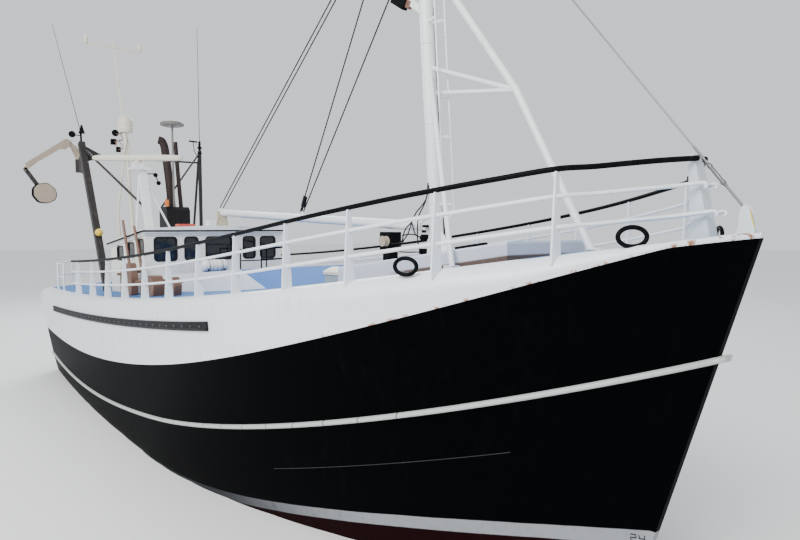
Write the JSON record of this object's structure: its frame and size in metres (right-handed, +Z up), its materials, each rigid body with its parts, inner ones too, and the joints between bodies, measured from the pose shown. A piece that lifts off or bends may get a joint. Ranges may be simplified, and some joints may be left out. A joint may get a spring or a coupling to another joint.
{
  "type": "fishing trawler",
  "caption": "Steel stern trawler with shelter deck, aft wheelhouse, raked foremast with cargo boom, stern gantry with net crane, propeller and rudder.",
  "frame": {"origin": "on the centreline amidships, at the waterline the boat floats at", "axes": "+X forward to the stem, +Y to port, +Z up from the water"},
  "size_m": [24.3555, 7.5826, 17.08],
  "materials": {
    "hull_paint": "gloss black topsides over a green boot-top and dark red antifouling, faded and rust-streaked",
    "deck_paint": "white plating outside, light blue deck and casing paint, scuffed",
    "keel_paint": "dark red antifouling",
    "white_paint": "semi-gloss white marine paint with rust runs",
    "black_paint": "black marine paint, chipped",
    "grey_paint": "light grey-blue deck paint",
    "cream_paint": "cream paint, yellowed",
    "rusty_paint": "worn paint over rust",
    "sooty_steel": "sooty dark brown steel pipe",
    "galvanised_wire": "galvanised wire rope",
    "bronze": "dull propeller bronze",
    "fender_rubber": "scuffed black rubber",
    "moulded_white": "glossy white moulded shell"
  },
  "bodies": {
    "hull": {"hull": "hull_paint", "shelter_deck": "deck_paint", "casing": "deck_paint", "bar_keel": "keel_paint", "rub_strake_port": "white_paint", "rub_strake_starboard": "white_paint", "rail_frame_port": "white_paint", "rail_frame_starboard": "white_paint", "stern_rail": "white_paint", "stem_plate": "white_paint", "wheelhouse_roof": "white_paint", "foremast": "white_paint", "mast_strut": "white_paint", "mast_ladder": "white_paint", "radar_mast": "white_paint", "antenna_mast": "white_paint", "top_rail_port": "black_paint", "top_rail_starboard": "black_paint", "fairlead_aft_port": "black_paint", "fairlead_aft_starboard": "black_paint", "fairlead_forward_port": "black_paint", "fairlead_forward_starboard": "black_paint", "winch_frame": "black_paint", "casing_rail": "black_paint", "bow_post": "grey_paint", "mast_trunk": "grey_paint", "hatch_coaming": "grey_paint", "wheelhouse_front": "cream_paint", "wheelhouse_side_port": "cream_paint", "wheelhouse_side_starboard": "cream_paint", "wheelhouse_aft": "cream_paint", "boom_crutch": "cream_paint", "funnel_casing": "cream_paint", "stern_gantry": "cream_paint", "net_drum_stand_port": "rusty_paint", "net_drum_stand_starboard": "rusty_paint", "exhaust_pipe_large": "sooty_steel", "exhaust_pipe_small": "sooty_steel", "forestay": "galvanised_wire", "quarter_rubber_port": "fender_rubber", "quarter_rubber_starboard": "fender_rubber", "liferaft": "moulded_white", "disc_antenna": "moulded_white"},
    "cargo_boom": {"cargo_boom": "white_paint"},
    "winch_drum": {"winch_drum": "cream_paint"},
    "hatch_lid": {"hatch_lid": "grey_paint"},
    "wheelhouse_door": {"wheelhouse_door": "cream_paint"},
    "radar_scanner": {"radar_scanner": "moulded_white"},
    "crane_column": {"crane_column": "cream_paint"},
    "crane_jib": {"crane_jib": "cream_paint"},
    "block_arm": {"block_arm": "rusty_paint"},
    "power_block": {"power_block": "moulded_white"},
    "net_drum": {"net_drum": "rusty_paint"},
    "propeller": {"propeller": "bronze"},
    "rudder": {"rudder": "rusty_paint"}
  },
  "joints": [
    {"name": "boom_luff", "type": "hinge", "parent": "hull", "child": "cargo_boom", "pos_m": [6.2653, 0, 5.48], "axis": [0, 1, 0], "range_deg": [0, 65]},
    {"name": "winch_spin", "type": "hinge", "parent": "hull", "child": "winch_drum", "pos_m": [5.24, -0.235, 5.185], "axis": [0, 1, 0], "continuous": true},
    {"name": "hatch_hinge", "type": "hinge", "parent": "hull", "child": "hatch_lid", "pos_m": [3.12, 0, 4.4003], "axis": [0, -1, 0], "range_deg": [0, 100]},
    {"name": "door_hinge", "type": "hinge", "parent": "hull", "child": "wheelhouse_door", "pos_m": [-6.714, 1.447, 4.2], "axis": [0, 0, -1], "range_deg": [0, 110]},
    {"name": "scanner_turn", "type": "hinge", "parent": "hull", "child": "radar_scanner", "pos_m": [-5.4, -1.68, 7.6], "axis": [0, 0, 1], "continuous": true},
    {"name": "crane_slew", "type": "hinge", "parent": "hull", "child": "crane_column", "pos_m": [-10.6, -2.17, 8.1], "axis": [0, 0, 1], "range_deg": [-100, 20]},
    {"name": "jib_luff", "type": "hinge", "parent": "crane_column", "child": "crane_jib", "pos_m": [-10.6, -2.33, 8.42], "axis": [-1, 0, 0], "range_deg": [-15, 45]},
    {"name": "arm_swing", "type": "hinge", "parent": "crane_jib", "child": "block_arm", "pos_m": [-10.6, -3.93, 7.55], "axis": [1, 0, 0], "range_deg": [-25, 25]},
    {"name": "power_block_spin", "type": "hinge", "parent": "block_arm", "child": "power_block", "pos_m": [-10.6, -3.385, 6.71], "axis": [1, 0, 0], "continuous": true},
    {"name": "net_drum_spin", "type": "hinge", "parent": "hull", "child": "net_drum", "pos_m": [-9.15, 0, 4.05], "axis": [0, 1, 0], "continuous": true},
    {"name": "propeller_spin", "type": "hinge", "parent": "hull", "child": "propeller", "pos_m": [-10.25, 0, -2.3], "axis": [1, 0, 0], "continuous": true},
    {"name": "rudder_turn", "type": "hinge", "parent": "hull", "child": "rudder", "pos_m": [-11.1, 0, -2], "axis": [0, 0, 1], "range_deg": [-35, 35]}
  ]
}
